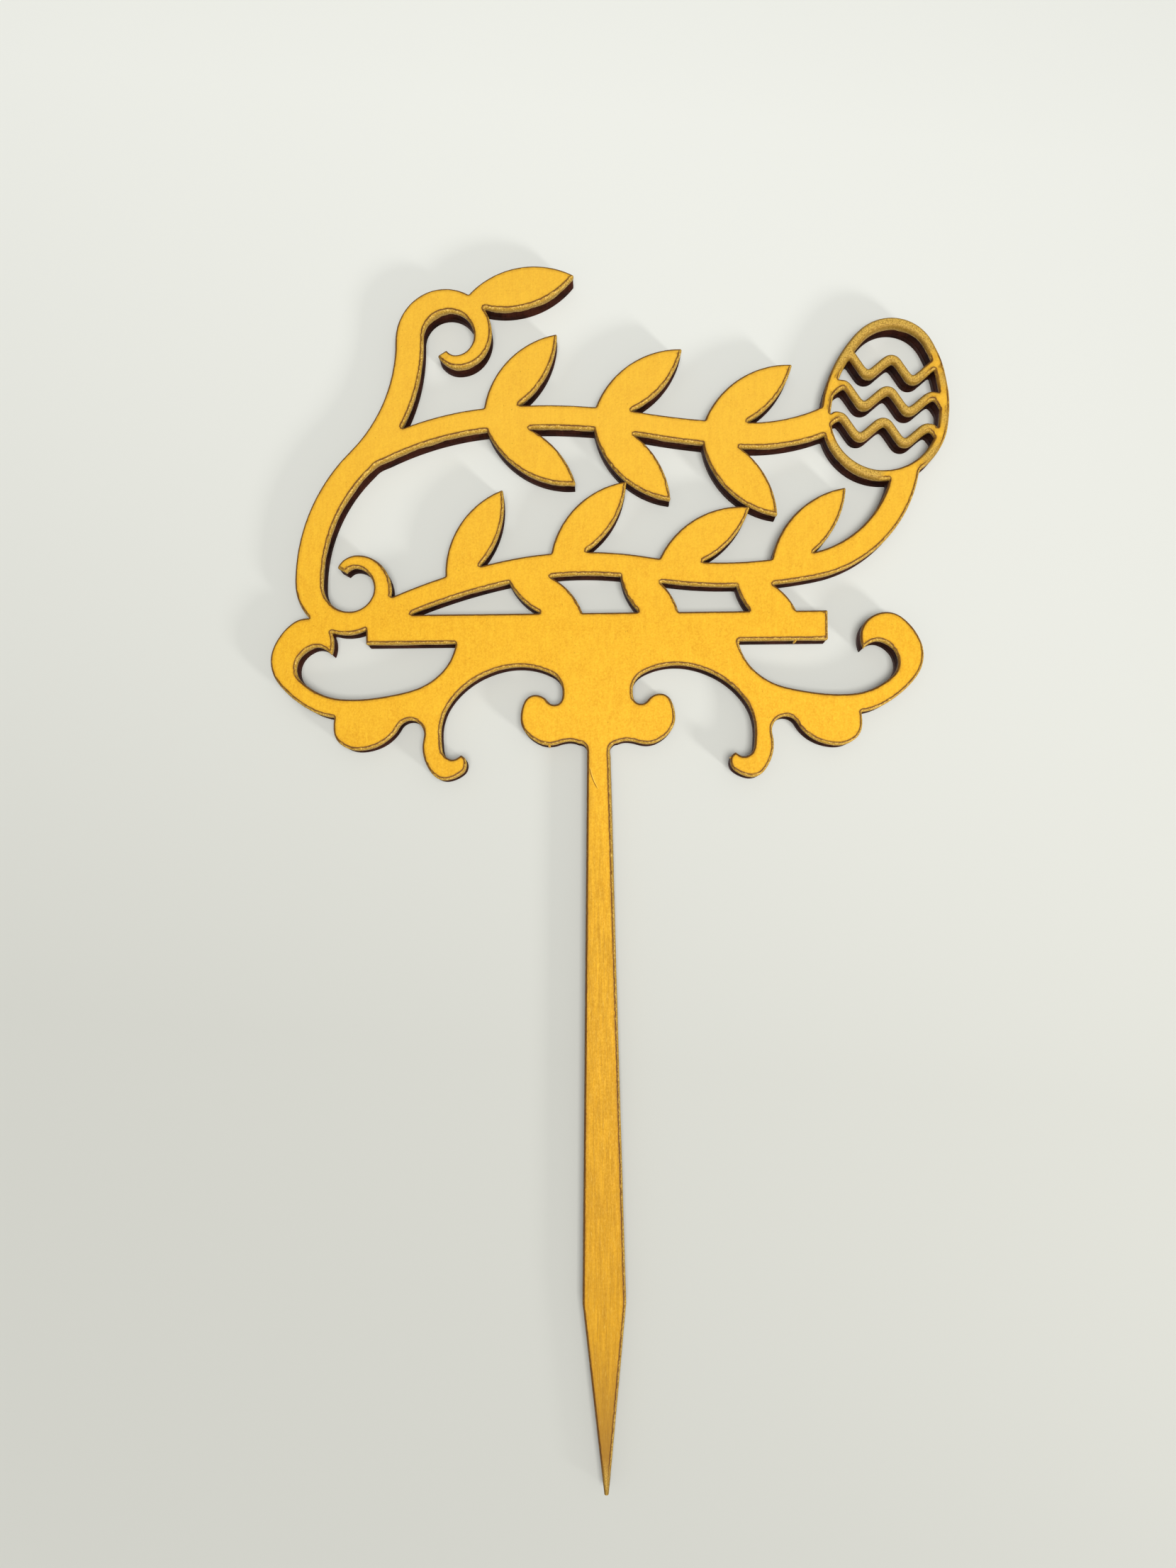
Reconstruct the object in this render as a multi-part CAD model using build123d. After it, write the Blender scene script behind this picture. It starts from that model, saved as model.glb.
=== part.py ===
from build123d import *
import os
from math import atan2, cos, degrees, radians, sin, sqrt

# A flat cake topper cut in one pass from three-ply sheet, in millimetres.
# Origin on the stake's axis at its shoulder, mid-thickness. The front faces -Y and +Z is up.

# Plies of the sheet
face_ply = 0.9
core_ply = 1.2

# Stake
stake_length = 116.5
stake_neck_width = 3.4
stake_broad_width = 6.7
stake_point_length = 29.8
stake_tip_width = 0.6
shoulder_radius = 1.3

# Bar that carries the head
bar_length = 71.4
bar_height = 4.5
bar_rise = 15.6

# Scroll base, one half measured from the axis
base_reach = 50.6

# Two scrolls at the left end of the head, one on the bar and one at the top
scroll_radius = 6.3
scroll_width = 4.3
scroll_turn = 300
scroll_core_share = 0.4
scroll_end_share = 0.36
scroll_station_shares = (0, 0.35, 0.7, 1)
low_scroll_inset = -2.4
low_scroll_sink = 3.6
crown_inset = 13.5
crown_rise = 42.6

# Stems that wind from the left to the egg
stem_width = 3.5
stem_leave_angle = 64
stem_end_width = 4.2
lower_stem_reach = 8
lower_stem_rise = 6.8
lower_stem_lean = -10
lower_end_angle = -65
lower_end_lean = 85
upper_stem_reach = 8
upper_stem_rise = 29
upper_stem_lean = -10
upper_end_angle = 180
upper_end_lean = 25
branch_share = 0.5
branch_lean = 30

# Leaves, by shares of the length of the stem that carries them; struts are short ones down to the bar
leaf_length = 17.5
leaf_width = 6.2
leaf_spread = 42
strut_length = 14
strut_width = 5.6
upper_leaf_shares = (0.27, 0.495, 0.72)
lower_leaf_shares = (0.14, 0.315, 0.49, 0.68)
lower_strut_shares = (0.24, 0.43, 0.62)
crown_leaf_angle = 70
crown_leaf_lean = 12

# Egg at the end of both stems
egg_overhang = 9.2
egg_rise = 30
egg_width = 19.8
egg_height = 25.2
egg_shoulder_angle = 36
egg_ring = 1.5
egg_tilt = 8
wave_band = 1.3
wave_length = 7
wave_swing = 2.7
wave_crest_share = 0.3
wave_pitch = 4.9
wave_lift = 4
wave_count = 3

# Start, middle and end of an arc
arc_shares = (0, 0.5, 1)

bar_top = bar_rise + bar_height
bar_end = bar_length / 2

# Right half of the base, clockwise from the bar: x in shares of base_reach, z of bar_rise
gap_shares = [(0.43, 1.02), (0.475, 0.72), (0.69, 0.465), (0.86, 0.535), (0.92, 0.77), (0.87, 0.975),
              (0.813, 0.905)]
rim_shares = [(0.813, 0.905), (0.83, 1.2), (0.89, 1.265), (0.965, 1.11), (0.998, 0.83), (0.93, 0.47),
              (0.805, 0.28)]
lobe_shares = [(0.805, 0.28), (0.787, 0.015), (0.667, 0.005), (0.553, 0.228), (0.532, -0.14), (0.46, -0.35),
               (0.405, -0.16), (0.42, -0.11)]
arch_shares = [(0.42, -0.11), (0.45, -0.15), (0.48, 0.1), (0.375, 0.635), (0.2, 0.755), (0.107, 0.52),
               (0.122, 0.39), (0.185, 0.48), (0.236, 0.24), (0.205, 0.055), (0.15, -0.015), (0.09, 0.02)]


def lerp(a, b, share):
    return a + (b - a) * share


def heading_at(angle):
    return Vector(cos(radians(angle)), sin(radians(angle)))


def polar(centre, radius, angle):
    return centre + heading_at(angle) * radius


def direction(vector):
    return degrees(atan2(vector.Y, vector.X))


def arc_pair(start, heading, end, end_heading):
    """Two tangent arcs from one point and heading to another; both run to the joint."""
    chord = end - start
    lean = chord.dot(heading + end_heading)
    spread = 2 * (1 - heading.dot(end_heading))
    reach = chord.dot(chord) / (lean + sqrt(lean ** 2 + spread * chord.dot(chord)))
    joint = (start + heading * reach + end - end_heading * reach) / 2
    return TangentArc(start, joint, tangent=heading), TangentArc(end, joint, tangent=-end_heading)


def smooth_curve(points):
    guide = Spline(*points)
    headings = [guide.tangent_at(guide.param_at_point(point)) for point in points]
    arcs = []
    for k in range(len(points) - 1):
        arcs += arc_pair(points[k], headings[k], points[k + 1], headings[k + 1])
    return arcs


def stroke(stations):
    """A tapered stroke through stations of point, heading and width, cut square at both ends."""
    sides = {1: [], -1: []}
    for (start, heading, width), (end, end_heading, end_width) in zip(stations, stations[1:]):
        first, second = arc_pair(start, heading, end, end_heading)
        middle = (width + end_width) / 2
        for arc, foot_width, way in ((first, width, 1), (second, end_width, -1)):
            for side in sides:
                rim = []
                for share in arc_shares:
                    across = (arc % share).rotate(Axis.Z, way * side * 90)
                    rim.append(arc @ share + across * (lerp(foot_width, middle, share) / 2))
                sides[side].append(ThreePointArc(*rim))
    ends = []
    for point, heading, width in (stations[0], stations[-1]):
        across = heading.rotate(Axis.Z, 90) * (width / 2)
        ends.append(Line(point + across, point - across))
    return make_face([*sides[1], *sides[-1], *ends])


def leaf(foot, angle, length, width):
    tip = polar(foot, length, angle)
    return make_face([SagittaArc(foot, tip, width / 2), SagittaArc(foot, tip, -width / 2)])


def centreline(stations):
    arcs = []
    for (start, heading, width), (end, end_heading, end_width) in zip(stations, stations[1:]):
        arcs += arc_pair(start, heading, end, end_heading)
    return Wire(arcs)


def leaves(stations, shares, side, length, width):
    """Leaves on a stroke's left, 1, or right, -1, at shares of its length."""
    line = centreline(stations)
    shape = Sketch()
    for share in shares:
        foot = line.position_at(share * line.length, position_mode=PositionMode.LENGTH)
        along = line.tangent_at(share * line.length, position_mode=PositionMode.LENGTH)
        shape += leaf(foot, direction(along) + side * leaf_spread, length, width)
    return shape


def scroll(centre, side):
    """Stations of a scroll that starts at its left; side is 1 clockwise and -1 anticlockwise."""
    stations = []
    for share in scroll_station_shares:
        angle = 180 - side * scroll_turn * share
        radius = scroll_radius * lerp(1, scroll_core_share, share ** 2)
        shrink = scroll_radius * (scroll_core_share - 1) * 2 * share
        spin = -side * radius * radians(scroll_turn)
        heading = (heading_at(angle) * shrink + heading_at(angle + 90) * spin).normalized()
        width = scroll_width * lerp(1, scroll_end_share, share)
        stations.append((polar(centre, radius, angle), heading, width))
    return stations


def half_base():
    runs = [[Vector(x * base_reach, z * bar_rise) for x, z in shares]
            for shares in (gap_shares, rim_shares, lobe_shares, arch_shares)]
    top = runs[0][0]
    foot = Vector(stake_neck_width / 2 + shoulder_radius, 0)
    runs[-1].append(foot)
    curves = [arc for run in runs for arc in smooth_curve(run)]
    return make_face([*curves, Polyline(foot, (0, 0), (0, top.Y), top)])


def stake():
    half_neck = stake_neck_width / 2
    half_broad = stake_broad_width / 2
    half_tip = stake_tip_width / 2
    broad_z = stake_point_length - stake_length
    shoulder = half_neck + shoulder_radius
    edge = Polyline((half_neck, -shoulder_radius), (half_broad, broad_z), (half_tip, -stake_length),
                    (0, -stake_length), (0, bar_rise), (shoulder, bar_rise), (shoulder, 0))
    fillet_arc = RadiusArc((shoulder, 0), (half_neck, -shoulder_radius), -shoulder_radius)
    half = make_face([edge, fillet_arc])
    return half + mirror(half, Plane.YZ)


def egg_outline(inset):
    """An egg of four tangent arcs: round below, two long sides, a small crown."""
    below = egg_width / 2
    above = egg_height - below
    lean = heading_at(egg_shoulder_angle)
    side_radius = below + lean.X * (above - below) / (lean.X + lean.Y - 1)
    pivot = Vector(below - side_radius, 0)
    middle = polar(pivot, side_radius - inset, egg_shoulder_angle / 2)
    joint = polar(pivot, side_radius - inset, egg_shoulder_angle)
    side = ThreePointArc((below - inset, 0), middle, joint)
    crown = ThreePointArc(joint, (0, above - inset), (-joint.X, joint.Y))
    foot = ThreePointArc((inset - below, 0), (0, inset - below), (below - inset, 0))
    return make_face([foot, side, crown, mirror(side, Plane.YZ)])


def wave(z):
    """A band that waves across the egg, with a crest on its axis."""
    half_wave = wave_length / 2
    half_crest = half_wave * wave_crest_share / 2
    count = int(egg_width / wave_length) + 1
    bends = []
    for k in range(-count, count + 1):
        level = z - wave_swing * (k % 2)
        bends += [(k * half_wave - half_crest, level), (k * half_wave + half_crest, level)]
    return make_face(offset(Polyline(*bends), wave_band / 2, kind=Kind.INTERSECTION))


def egg():
    shell = egg_outline(0)
    shape = shell - egg_outline(egg_ring)
    for k in range(wave_count):
        shape += wave((k - (wave_count - 1) / 2) * wave_pitch + wave_lift) & shell
    return shape


def head():
    up = heading_at(90)
    left = Vector(scroll_radius, 0)
    low = Vector(low_scroll_inset - bar_end, bar_top + scroll_radius + scroll_width / 2 - low_scroll_sink)
    crown = Vector(crown_inset - bar_end, bar_top + crown_rise)
    egg_centre = Vector(bar_end + egg_overhang, bar_top + egg_rise)
    end_radius = (egg_width - stem_end_width) / 2
    climb = [(low - left, up, scroll_width), (crown - left, up, scroll_width)]
    lower = [
        (polar(low, scroll_radius, -stem_leave_angle), heading_at(90 - stem_leave_angle), stem_width),
        (Vector(lower_stem_reach, bar_top + lower_stem_rise), heading_at(lower_stem_lean), stem_width),
        (polar(egg_centre, end_radius, lower_end_angle), heading_at(lower_end_lean), stem_end_width),
    ]
    upper = [
        (centreline(climb) @ branch_share, heading_at(branch_lean), stem_width),
        (Vector(upper_stem_reach, bar_top + upper_stem_rise), heading_at(upper_stem_lean), stem_width),
        (polar(egg_centre, end_radius, upper_end_angle), heading_at(upper_end_lean), stem_end_width),
    ]
    shape = Sketch()
    for stations in (climb, scroll(low, -1), scroll(crown, 1), lower, upper):
        shape += stroke(stations)
    for side in (1, -1):
        shape += leaves(upper, upper_leaf_shares, side, leaf_length, leaf_width)
    shape += leaves(lower, lower_leaf_shares, 1, leaf_length, leaf_width)
    shape += leaves(lower, lower_strut_shares, -1, strut_length, strut_width)
    shape += leaf(polar(crown, scroll_radius, crown_leaf_angle), crown_leaf_lean, leaf_length, leaf_width)
    place = Pos(egg_centre) * Rot(0, 0, -egg_tilt)
    return shape - place * egg_outline(egg_ring) + place * egg()


def outline():
    half = half_base()
    bar = Pos(0, bar_rise + bar_height / 2) * Rectangle(bar_length, bar_height)
    return half + mirror(half, Plane.YZ) + stake() + bar + head()


def ply(face, inner, depth):
    """One ply of the sheet; inner is its rear face's distance in front of mid-thickness."""
    return extrude(Plane.XZ.offset(inner) * face, depth)


plies = {
    "front_veneer": (core_ply / 2, face_ply),
    "core_veneer": (-core_ply / 2, core_ply),
    "back_veneer": (-core_ply / 2 - face_ply, face_ply),
}
face = outline()
os.makedirs("parts", exist_ok=True)
for name, (inner, depth) in plies.items():
    export_step(ply(face, inner, depth), f"parts/{name}.step")
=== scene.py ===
# Cake topper: gold paint over a laser-cut three-ply sheet, dressed around the CAD plies
import math

import bmesh
import bpy
import numpy as np
from mathutils import Matrix, Vector, kdtree, noise
from mathutils.geometry import delaunay_2d_cdt


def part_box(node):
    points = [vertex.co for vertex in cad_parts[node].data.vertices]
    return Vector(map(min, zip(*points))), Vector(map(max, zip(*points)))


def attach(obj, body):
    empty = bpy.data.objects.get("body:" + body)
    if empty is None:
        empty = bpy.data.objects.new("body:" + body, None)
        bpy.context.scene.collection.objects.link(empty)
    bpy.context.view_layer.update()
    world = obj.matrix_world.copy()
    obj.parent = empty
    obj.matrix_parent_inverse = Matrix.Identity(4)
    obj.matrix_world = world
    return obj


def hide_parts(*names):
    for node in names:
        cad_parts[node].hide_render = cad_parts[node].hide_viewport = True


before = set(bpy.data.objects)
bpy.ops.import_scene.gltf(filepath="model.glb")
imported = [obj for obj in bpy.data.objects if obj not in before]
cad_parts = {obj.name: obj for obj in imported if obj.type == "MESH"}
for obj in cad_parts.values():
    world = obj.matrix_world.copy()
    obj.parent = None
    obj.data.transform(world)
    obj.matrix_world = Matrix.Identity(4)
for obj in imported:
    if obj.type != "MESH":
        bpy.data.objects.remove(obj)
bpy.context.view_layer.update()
mm = 0.001
scene = bpy.context.scene
scene.view_settings.view_transform = "Standard"
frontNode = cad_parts["front_veneer"]
sheet = {
    "front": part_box("front_veneer")[0][1] / mm,  # depths of the plies along Y, in mm
    "coreFront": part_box("core_veneer")[0][1] / mm,
    "coreBack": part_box("core_veneer")[1][1] / mm,
    "back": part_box("back_veneer")[1][1] / mm,
}


# Outline of the cut, read from the front ply and smoothed

outline = {  # lengths in mm
    "level": 0.01,         # a facet of the ply within this of its front belongs to the face
    "step": 0.36,          # spacing along curves
    "straightStep": 0.8,   # spacing along straight runs
    "straightOver": 6.0,   # a facet longer than this is a straight run
    "easedShare": 0.7,     # and with eased corners one longer than this share of it
    "cornerDeg": 20,       # a sharper turn is a corner
    "bluntDeg": 56,        # a corner up to this turn is eased widely
    "easeWide": 2.2,       # radii of the eased corners
    "easeTight": 0.22,
    "easeMost": 0.49,      # largest share of an edge that an eased corner takes
    "easeSteps": (0, 0.25, 0.5, 0.75, 1),
    "miterLeast": 0.5,     # keeps offset rows from reaching far out at a sharp corner
    "weld": 1e-6,          # points nearer than this are one
    "rings": (0.05, 0.12, 0.21, 0.31, 0.46, 0.95),  # inset rows of points on the faces
    "ringClear": 0.85,     # share of its inset that a row's point keeps from every rim
    "sparseOver": 0.5,     # a row farther in has every second point
    "grid": 1.3,           # spacing of the points inside the rings
    "gridClear": 1.3,      # their distance from the rim, in insets of the innermost row
    "breadthReach": 1.7,   # radius in which the wood's breadth is looked for
    "breadthRounds": 20,   # rounds of smoothing along the rim
}


def capLoops(node):
    # closed loops of X and Z around the ply's front face
    mesh = node.data
    co = np.empty(len(mesh.vertices) * 3)
    mesh.vertices.foreach_get("co", co)
    co = co.reshape(-1, 3) / mm
    level = co[:, 1].min() + outline["level"]
    ids, edges = {}, set()
    for poly in mesh.polygons:
        corners = [co[v] for v in poly.vertices]
        if max(c[1] for c in corners) > level:
            continue
        keys = [ids.setdefault((round(c[0], 3), round(c[2], 3)), len(ids)) for c in corners]
        for a, b in zip(keys, keys[1:] + keys[:1]):
            if (b, a) in edges:
                edges.remove((b, a))
            else:
                edges.add((a, b))
    places = np.array(list(ids))
    follows = dict(edges)
    loops = []
    while follows:
        start, at = follows.popitem()
        loop = [start]
        while at != start:
            loop.append(at)
            at = follows.pop(at)
        loops.append(places[loop])
    return loops


def unitRows(v):
    return v / np.maximum(np.linalg.norm(v, axis=1, keepdims=True), 1e-9)


def easeCorners(points):
    # corners become short curves; gives the points and the way the cut runs at each
    ahead = np.roll(points, -1, axis=0) - points
    length = np.linalg.norm(ahead, axis=1)
    unit = unitRows(ahead)
    back, backLength = np.roll(unit, 1, axis=0), np.roll(length, 1)
    turn = np.arccos(np.clip((back * unit).sum(axis=1), -1, 1))
    straight = length > outline["straightOver"]
    tangent = unitRows(back * length[:, None] + unit * backLength[:, None])
    places, ways = [], []
    for k, p in enumerate(points):
        if turn[k] < math.radians(outline["cornerDeg"]) and not (straight[k] and straight[k - 1]):
            places.append(p)
            ways.append(unit[k] if straight[k] else back[k] if straight[k - 1] else tangent[k])
            continue
        blunt = turn[k] < math.radians(outline["bluntDeg"])
        radius = outline["easeWide"] if blunt else outline["easeTight"]
        reach = radius * math.tan(turn[k] / 2)
        leave = unit[k] * min(reach, outline["easeMost"] * length[k])
        arrive = back[k] * min(reach, outline["easeMost"] * backLength[k])
        for t in outline["easeSteps"]:
            places.append(p + t**2 * leave - (1 - t)**2 * arrive)
            ways.append(t * leave + (1 - t) * arrive)
    return np.array(places), unitRows(np.array(ways))


def smoothLoop(points):
    # cubic curves through the eased points
    places, ways = easeCorners(points)
    out = []
    for k in range(len(places)):
        j = (k + 1) % len(places)
        length = np.linalg.norm(places[j] - places[k])
        straight = length > outline["easedShare"] * outline["straightOver"]
        count = max(1, math.ceil(length / outline["straightStep" if straight else "step"]))
        u = (np.arange(count) / count)[:, None]
        out.append((2 * u**3 - 3 * u**2 + 1) * places[k] + (3 * u**2 - 2 * u**3) * places[j]
                   + length * ((u**3 - 2 * u**2 + u) * ways[k] + (u**3 - u**2) * ways[j]))
    return np.concatenate(out)


class Cut:
    # all loops of the outline in one list, with the way out of the wood at each point
    def __init__(self, loops):
        self.spans, self.next, at = [], [], 0
        for loop in loops:
            self.spans.append((at, at + len(loop)))
            self.next += [at + (k + 1) % len(loop) for k in range(len(loop))]
            at += len(loop)
        self.points = np.concatenate(loops)
        self.next = np.array(self.next)
        self.before = np.empty_like(self.next)
        self.before[self.next] = np.arange(at)
        along = unitRows(self.points[self.next] - self.points)
        came = along[self.before]
        side = np.stack([came[:, 1] + along[:, 1], -came[:, 0] - along[:, 0]], axis=1)
        self.out = unitRows(side)
        half = (self.out * np.stack([along[:, 1], -along[:, 0]], axis=1)).sum(axis=1)
        self.miter = self.out / np.clip(half, outline["miterLeast"], 1)[:, None]
        self.run = np.zeros(at)
        for first, last in self.spans:
            lengths = np.linalg.norm(np.diff(self.points[first:last], axis=0), axis=1)
            self.run[first + 1:last] = np.cumsum(lengths)
        self.tree = kdtree.KDTree(at)
        for k, p in enumerate(self.points):
            self.tree.insert((p[0], p[1], 0), k)
        self.tree.balance()

    def near(self, p):
        # the nearest rim point and the distance to the rim
        k = self.tree.find((p[0], p[1], 0))[1]
        best = math.inf
        for first, last in ((self.before[k], k), (k, self.next[k])):
            a = self.points[first]
            ab = self.points[last] - a
            t = min(max(np.dot(p - a, ab) / max(np.dot(ab, ab), 1e-12), 0), 1)
            best = min(best, np.linalg.norm(p - a - t * ab))
        return k, best

    def triangles(self, extra):
        # Delaunay triangles of the wood's face; a triangle's side flips at each edge of the outline
        count = len(self.points)
        verts = [Vector(p) for p in self.points] + [Vector(p) for p in extra]
        rim = [(k, int(self.next[k])) for k in range(count)]
        made = delaunay_2d_cdt(verts, rim, [], 0, outline["weld"])
        edges, faces, origVerts, origEdges = made[1:5]
        origin = [ids[0] for ids in origVerts]
        fence = {tuple(sorted(e)) for e, ids in zip(edges, origEdges) if ids}
        sides = {}
        for f, face in enumerate(faces):
            for a, b in zip(face, face[1:] + face[:1]):
                sides.setdefault((min(a, b), max(a, b)), []).append(f)
        wood = {fs[0]: key in fence for key, fs in sides.items() if len(fs) == 1}
        stack = list(wood)
        while stack:
            f = stack.pop()
            face = faces[f]
            for a, b in zip(face, face[1:] + face[:1]):
                key = (min(a, b), max(a, b))
                for g in sides[key]:
                    if g not in wood:
                        wood[g] = wood[f] != (key in fence)
                        stack.append(g)
        kept = [faces[f] for f in range(len(faces)) if wood.get(f)]
        return np.array([[origin[v] for v in face] for face in kept])


cut = Cut([smoothLoop(loop) for loop in capLoops(frontNode)])
print("outline:", len(cut.spans), "loops,", len(cut.points), "points")


def facePoints():
    # points inside the face, their distance to the rim and the rim point next to them
    points = []

    def keep(p, least):
        k, edge = cut.near(p)
        if edge > least and np.dot(p - cut.points[k], cut.out[k]) < 0:
            points.append((*p, edge, k))

    for ring in outline["rings"]:
        stride = 2 if ring > outline["sparseOver"] else 1
        for p in (cut.points - cut.miter * ring)[::stride]:
            keep(p, outline["ringClear"] * ring)
    low, high = cut.points.min(axis=0), cut.points.max(axis=0)
    clear = outline["gridClear"] * max(outline["rings"])
    for x in np.arange(low[0], high[0], outline["grid"]):
        for z in np.arange(low[1], high[1], outline["grid"]):
            keep(np.array((x, z)), clear)
    made = np.array(points)
    return made[:, :2], made[:, 2], made[:, 3].astype(int)


def breadthAtRim():
    # how far from the rim the wood near each rim point gets: small on thin bands
    reach = outline["breadthReach"]
    tree = kdtree.KDTree(len(inner))
    for k, p in enumerate(inner):
        tree.insert((p[0], p[1], 0), k)
    tree.balance()
    found = (tree.find_range((p[0], p[1], 0), reach) for p in cut.points)
    return np.array([max((innerEdge[k] for _, k, _ in hits), default=0) for hits in found])


def evenOut(values):
    # smooths a value along the rim
    for _ in range(outline["breadthRounds"]):
        values = (values[cut.before] + 2 * values + values[cut.next]) / 4
    return values


inner, innerEdge, innerNear = facePoints()
breadth = evenOut(breadthAtRim())
fineFace = cut.triangles(inner)
plainFace = cut.triangles([])
print("face:", len(inner), "inner points,", len(fineFace), "triangles")


# Meshes of the plies and the paint

def ramp(value, low, high):
    # 0 at low, 1 at high, and level beyond them
    return np.clip((value - low) / (high - low), 0, 1)


stakeLean = {
    "reach": 0.24,           # the stake's right wall leans out by this at its neck
    "start": (0.4, -2.0),    # heights between which the lean sets in
    "fade": (-62.0, -12.0),  # and between which it grows from its least share
    "least": 0.12,
    "half": 3.0,             # the stake is within this of its axis
    "facing": 0.5,           # a wall leans if it looks right by more than this
    "depths": (0.2, 1.3),    # depths behind the front over which it leans out
}


def leanAtRim():
    x, z = cut.points.T
    fall = np.maximum(ramp(z, *stakeLean["fade"]), stakeLean["least"])
    onStake = (np.abs(x) < stakeLean["half"]) & (cut.out[:, 0] > stakeLean["facing"])
    return stakeLean["reach"] * ramp(z, *stakeLean["start"]) * fall * onStake


sprayAndLight = {"side": (0.55, -0.84)}  # X and Z of the side that the coat was sprayed from and that the rim's painted light falls from
lean = leanAtRim()
towards = cut.out @ np.array(sprayAndLight["side"])


def rowAt(offset, depth):
    # one row of wall points: offset is out of the wood, depth along Y
    share = ramp(depth - sheet["front"], *stakeLean["depths"])
    out = np.broadcast_to(offset, len(cut.points)) + lean * share
    flat = cut.points + cut.miter * out[:, None]
    return np.stack([flat[:, 0], np.broadcast_to(depth, len(flat)), flat[:, 1]], axis=1)


def wave(frequency, seed, depth=0.0):
    # smooth noise along the cut, -1 to 1
    level = np.broadcast_to(seed + depth, len(cut.points))
    places = zip(*(cut.points * frequency).T, level)
    return np.array([noise.noise(place) for place in places])


def sheetMesh(name, rows, front=None, back=None):
    # front and back are (triangles, inner points) that close the first and the last row;
    # edge is the distance in from the rim, and below zero the depth down the wall
    count = len(cut.points)
    verts, faces = list(np.concatenate(rows)), []
    edge = [rows[0][:, 1] - row[:, 1] for row in rows]
    near = [np.arange(count)] * len(rows)
    for r in range(len(rows) - 1):
        for k in range(count):
            j = cut.next[k]
            faces.append((r * count + k, (r + 1) * count + k, (r + 1) * count + j, r * count + j))
    for cap, row, way in ((front, 0, 1), (back, len(rows) - 1, -1)):
        if cap is None:
            continue
        triangles, points = cap
        first = len(verts) - count
        verts += list(points)
        edge.append(innerEdge[:len(points)])
        near.append(innerNear[:len(points)])
        for tri in triangles:
            ids = [row * count + v if v < count else first + v for v in tri]
            faces.append(tuple(ids[::way]))
    mesh = bpy.data.meshes.new(name)
    mesh.from_pydata([tuple(v * mm) for v in verts], [], faces)
    near = np.concatenate(near)
    values = {
        "edge": np.concatenate(edge),
        "run": cut.run[near],
        "breadth": breadth[near],
        "sprayAndLight": towards[near],
    }
    for key, value in values.items():
        layer = mesh.attributes.new(key, "FLOAT", "POINT")
        layer.data.foreach_set("value", value.astype(np.float32))
    mesh.validate()
    obj = bpy.data.objects.new(name, mesh)
    scene.collection.objects.link(obj)
    return obj


def roundArris(edge, radius):
    # drop of a rounded arris at a distance from the outline
    near = np.clip(radius - edge, 0, radius)
    return radius - np.sqrt(radius**2 - near**2)


def frontArris():
    # radius of the front edge at each rim point
    return plies["arris"] + plies["bandArris"] * ramp(breadth, *plies["thin"])


def smoothFaces(obj, degrees=180):
    # edges that turn by more than these degrees stay sharp
    for poly in obj.data.polygons:
        poly.use_smooth = True
    obj.data.set_sharp_from_angle(angle=math.radians(degrees))


def bakeModifiers(obj):
    # the modifiers' result becomes the mesh
    depsgraph = bpy.context.evaluated_depsgraph_get()
    mesh = bpy.data.meshes.new_from_object(obj.evaluated_get(depsgraph))
    obj.modifiers.clear()
    obj.data = mesh


paint = {
    "film": 0.03,        # thickness of the coat
    "skirt": 0.1,        # how far it runs down every wall
    "wash": 0.8,         # and how much farther on walls towards the spray
    "washDrift": (0.75, 0.4, 0.35, 5),  # level, swing, frequency and seed of that
    "leanWash": 1.6,     # it runs farther where the stake leans
    "least": 0.05,       # and nowhere less than this
    "ragged": 0.1,       # unevenness of its lower edge
    "raggedWaves": ((1, 1.1, 3), (0.6, 4.5, 7)),  # share, frequency and seed
    "bulge": (0.5, 2.2, 11),  # swing, frequency and seed of its thickness on a wall
    "fullDown": 0.6,     # share of its run over which it stays as thick
    "tuck": 0.01,        # its lower edge ends this deep in the wood
    "shell": 0.6,        # thickness of its mesh, in films
    "sharpDeg": 60,
}


def makePaint():
    film, arris = paint["film"], frontArris()
    top = sheet["front"] - film
    ragged = paint["ragged"] * sum(share * wave(*form) for share, *form in paint["raggedWaves"])
    level, swing, *form = paint["washDrift"]
    wash = paint["wash"] * np.clip(towards, 0, 1) * (level + swing * wave(*form))
    depth = paint["skirt"] + wash + ragged + paint["leanWash"] * lean
    depth = np.maximum(depth, paint["least"])
    swing, *form = paint["bulge"]
    bulge = film * (1 + swing * wave(*form))
    rows = [
        rowAt(bulge, top + arris),
        rowAt(bulge, top + arris + paint["fullDown"] * depth),
        rowAt(-paint["tuck"], top + arris + depth),
    ]
    faceDepth = top + roundArris(innerEdge, arris[innerNear])
    points = np.stack([inner[:, 0], faceDepth, inner[:, 1]], axis=1)
    obj = sheetMesh("goldPaint", rows, front=(fineFace, points))
    solid = obj.modifiers.new("coat", "SOLIDIFY")
    solid.thickness = paint["shell"] * film * mm
    solid.offset = -1
    bakeModifiers(obj)
    smoothFaces(obj, paint["sharpDeg"])
    return obj


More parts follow.
